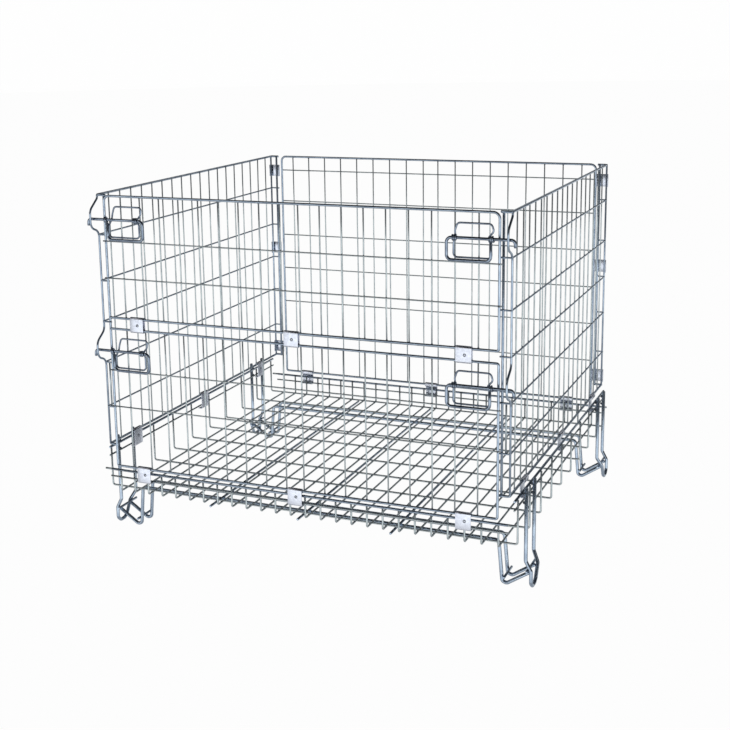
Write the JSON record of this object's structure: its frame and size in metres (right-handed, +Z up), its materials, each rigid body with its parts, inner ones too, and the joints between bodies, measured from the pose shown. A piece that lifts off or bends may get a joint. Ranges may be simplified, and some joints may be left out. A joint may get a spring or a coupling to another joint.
{
  "type": "wire mesh container",
  "caption": "Folding wire mesh cage on four wire feet, with a wire tray, a two-part drop gate at the front, sliding latch bolts and a back panel that folds in.",
  "frame": {"origin": "on the floor under the middle of the overall bounding box", "axes": "X across the width, +Y from the front gates towards the back panel, +Z up"},
  "size_m": [1.281, 1.1478, 1.0085],
  "materials": {
    "zinc_wire": "bright zinc plated round wire, satin",
    "zinc_sheet": "bright zinc plated pressed sheet, satin"
  },
  "bodies": {
    "tray": {"back_bearer_1": "zinc_wire", "back_bearer_2": "zinc_wire", "back_clip_1": "zinc_sheet", "back_clip_2": "zinc_sheet", "back_clip_3": "zinc_sheet", "back_curb": "zinc_wire", "back_left_foot_loop": "zinc_wire", "back_left_foot_rod_in": "zinc_wire", "back_left_foot_rod_out": "zinc_wire", "back_right_foot_loop": "zinc_wire", "back_right_foot_rod_in": "zinc_wire", "back_right_foot_rod_out": "zinc_wire", "deck_mesh": "zinc_wire", "deck_rib_1": "zinc_wire", "deck_rib_2": "zinc_wire", "deck_rib_3": "zinc_wire", "front_bearer_1": "zinc_wire", "front_bearer_2": "zinc_wire", "front_curb": "zinc_wire", "front_left_foot_loop": "zinc_wire", "front_left_foot_rod_in": "zinc_wire", "front_left_foot_rod_out": "zinc_wire", "front_right_foot_loop": "zinc_wire", "front_right_foot_rod_in": "zinc_wire", "front_right_foot_rod_out": "zinc_wire", "gate_clip_1": "zinc_sheet", "gate_clip_2": "zinc_sheet", "gate_clip_3": "zinc_sheet", "left_clip_1": "zinc_sheet", "left_clip_2": "zinc_sheet", "left_clip_3": "zinc_sheet", "left_corner_clip_1": "zinc_sheet", "left_corner_clip_2": "zinc_sheet", "left_corner_clip_3": "zinc_sheet", "left_curb": "zinc_wire", "left_panel": "zinc_wire", "right_clip_1": "zinc_sheet", "right_clip_2": "zinc_sheet", "right_clip_3": "zinc_sheet", "right_corner_clip_1": "zinc_sheet", "right_corner_clip_2": "zinc_sheet", "right_corner_clip_3": "zinc_sheet", "right_curb": "zinc_wire", "right_panel": "zinc_wire"},
    "back_panel": {"back_panel": "zinc_wire"},
    "lower_gate": {"lower_gate": "zinc_wire", "lower_left_keeper": "zinc_wire", "lower_right_keeper": "zinc_wire"},
    "link_clips": {"link_clip_1": "zinc_sheet", "link_clip_2": "zinc_sheet", "link_clip_3": "zinc_sheet"},
    "upper_gate": {"upper_gate": "zinc_wire", "upper_left_keeper": "zinc_wire", "upper_right_keeper": "zinc_wire"},
    "lower_left_bolt": {"lower_left_bolt": "zinc_wire"},
    "lower_right_bolt": {"lower_right_bolt": "zinc_wire"},
    "upper_left_bolt": {"upper_left_bolt": "zinc_wire"},
    "upper_right_bolt": {"upper_right_bolt": "zinc_wire"}
  },
  "joints": [
    {"name": "back_fold", "type": "hinge", "parent": "tray", "child": "back_panel", "pos_m": [0, 0.5676, 0.218], "axis": [1, 0, 0], "range_deg": [0, 90]},
    {"name": "lower_drop", "type": "hinge", "parent": "tray", "child": "lower_gate", "pos_m": [0, -0.5434, 0.218], "axis": [1, 0, 0], "range_deg": [0, 105]},
    {"name": "link_swing", "type": "hinge", "parent": "lower_gate", "child": "link_clips", "pos_m": [0, -0.5434, 0.626], "axis": [1, 0, 0], "range_deg": [0, 90]},
    {"name": "upper_fold", "type": "hinge", "parent": "link_clips", "child": "upper_gate", "pos_m": [0, -0.5434, 0.658], "axis": [1, 0, 0], "range_deg": [0, 90]},
    {"name": "lower_left_slide", "type": "slide", "parent": "lower_gate", "child": "lower_left_bolt", "axis": [1, 0, 0], "range_m": [0, 0.045]},
    {"name": "lower_right_slide", "type": "slide", "parent": "lower_gate", "child": "lower_right_bolt", "axis": [-1, 0, 0], "range_m": [0, 0.045]},
    {"name": "upper_left_slide", "type": "slide", "parent": "upper_gate", "child": "upper_left_bolt", "axis": [1, 0, 0], "range_m": [0, 0.045]},
    {"name": "upper_right_slide", "type": "slide", "parent": "upper_gate", "child": "upper_right_bolt", "axis": [-1, 0, 0], "range_m": [0, 0.045]}
  ],
  "couplings": [
    {"joint": "upper_fold", "follows": "link_swing", "ratio": 1}
  ]
}
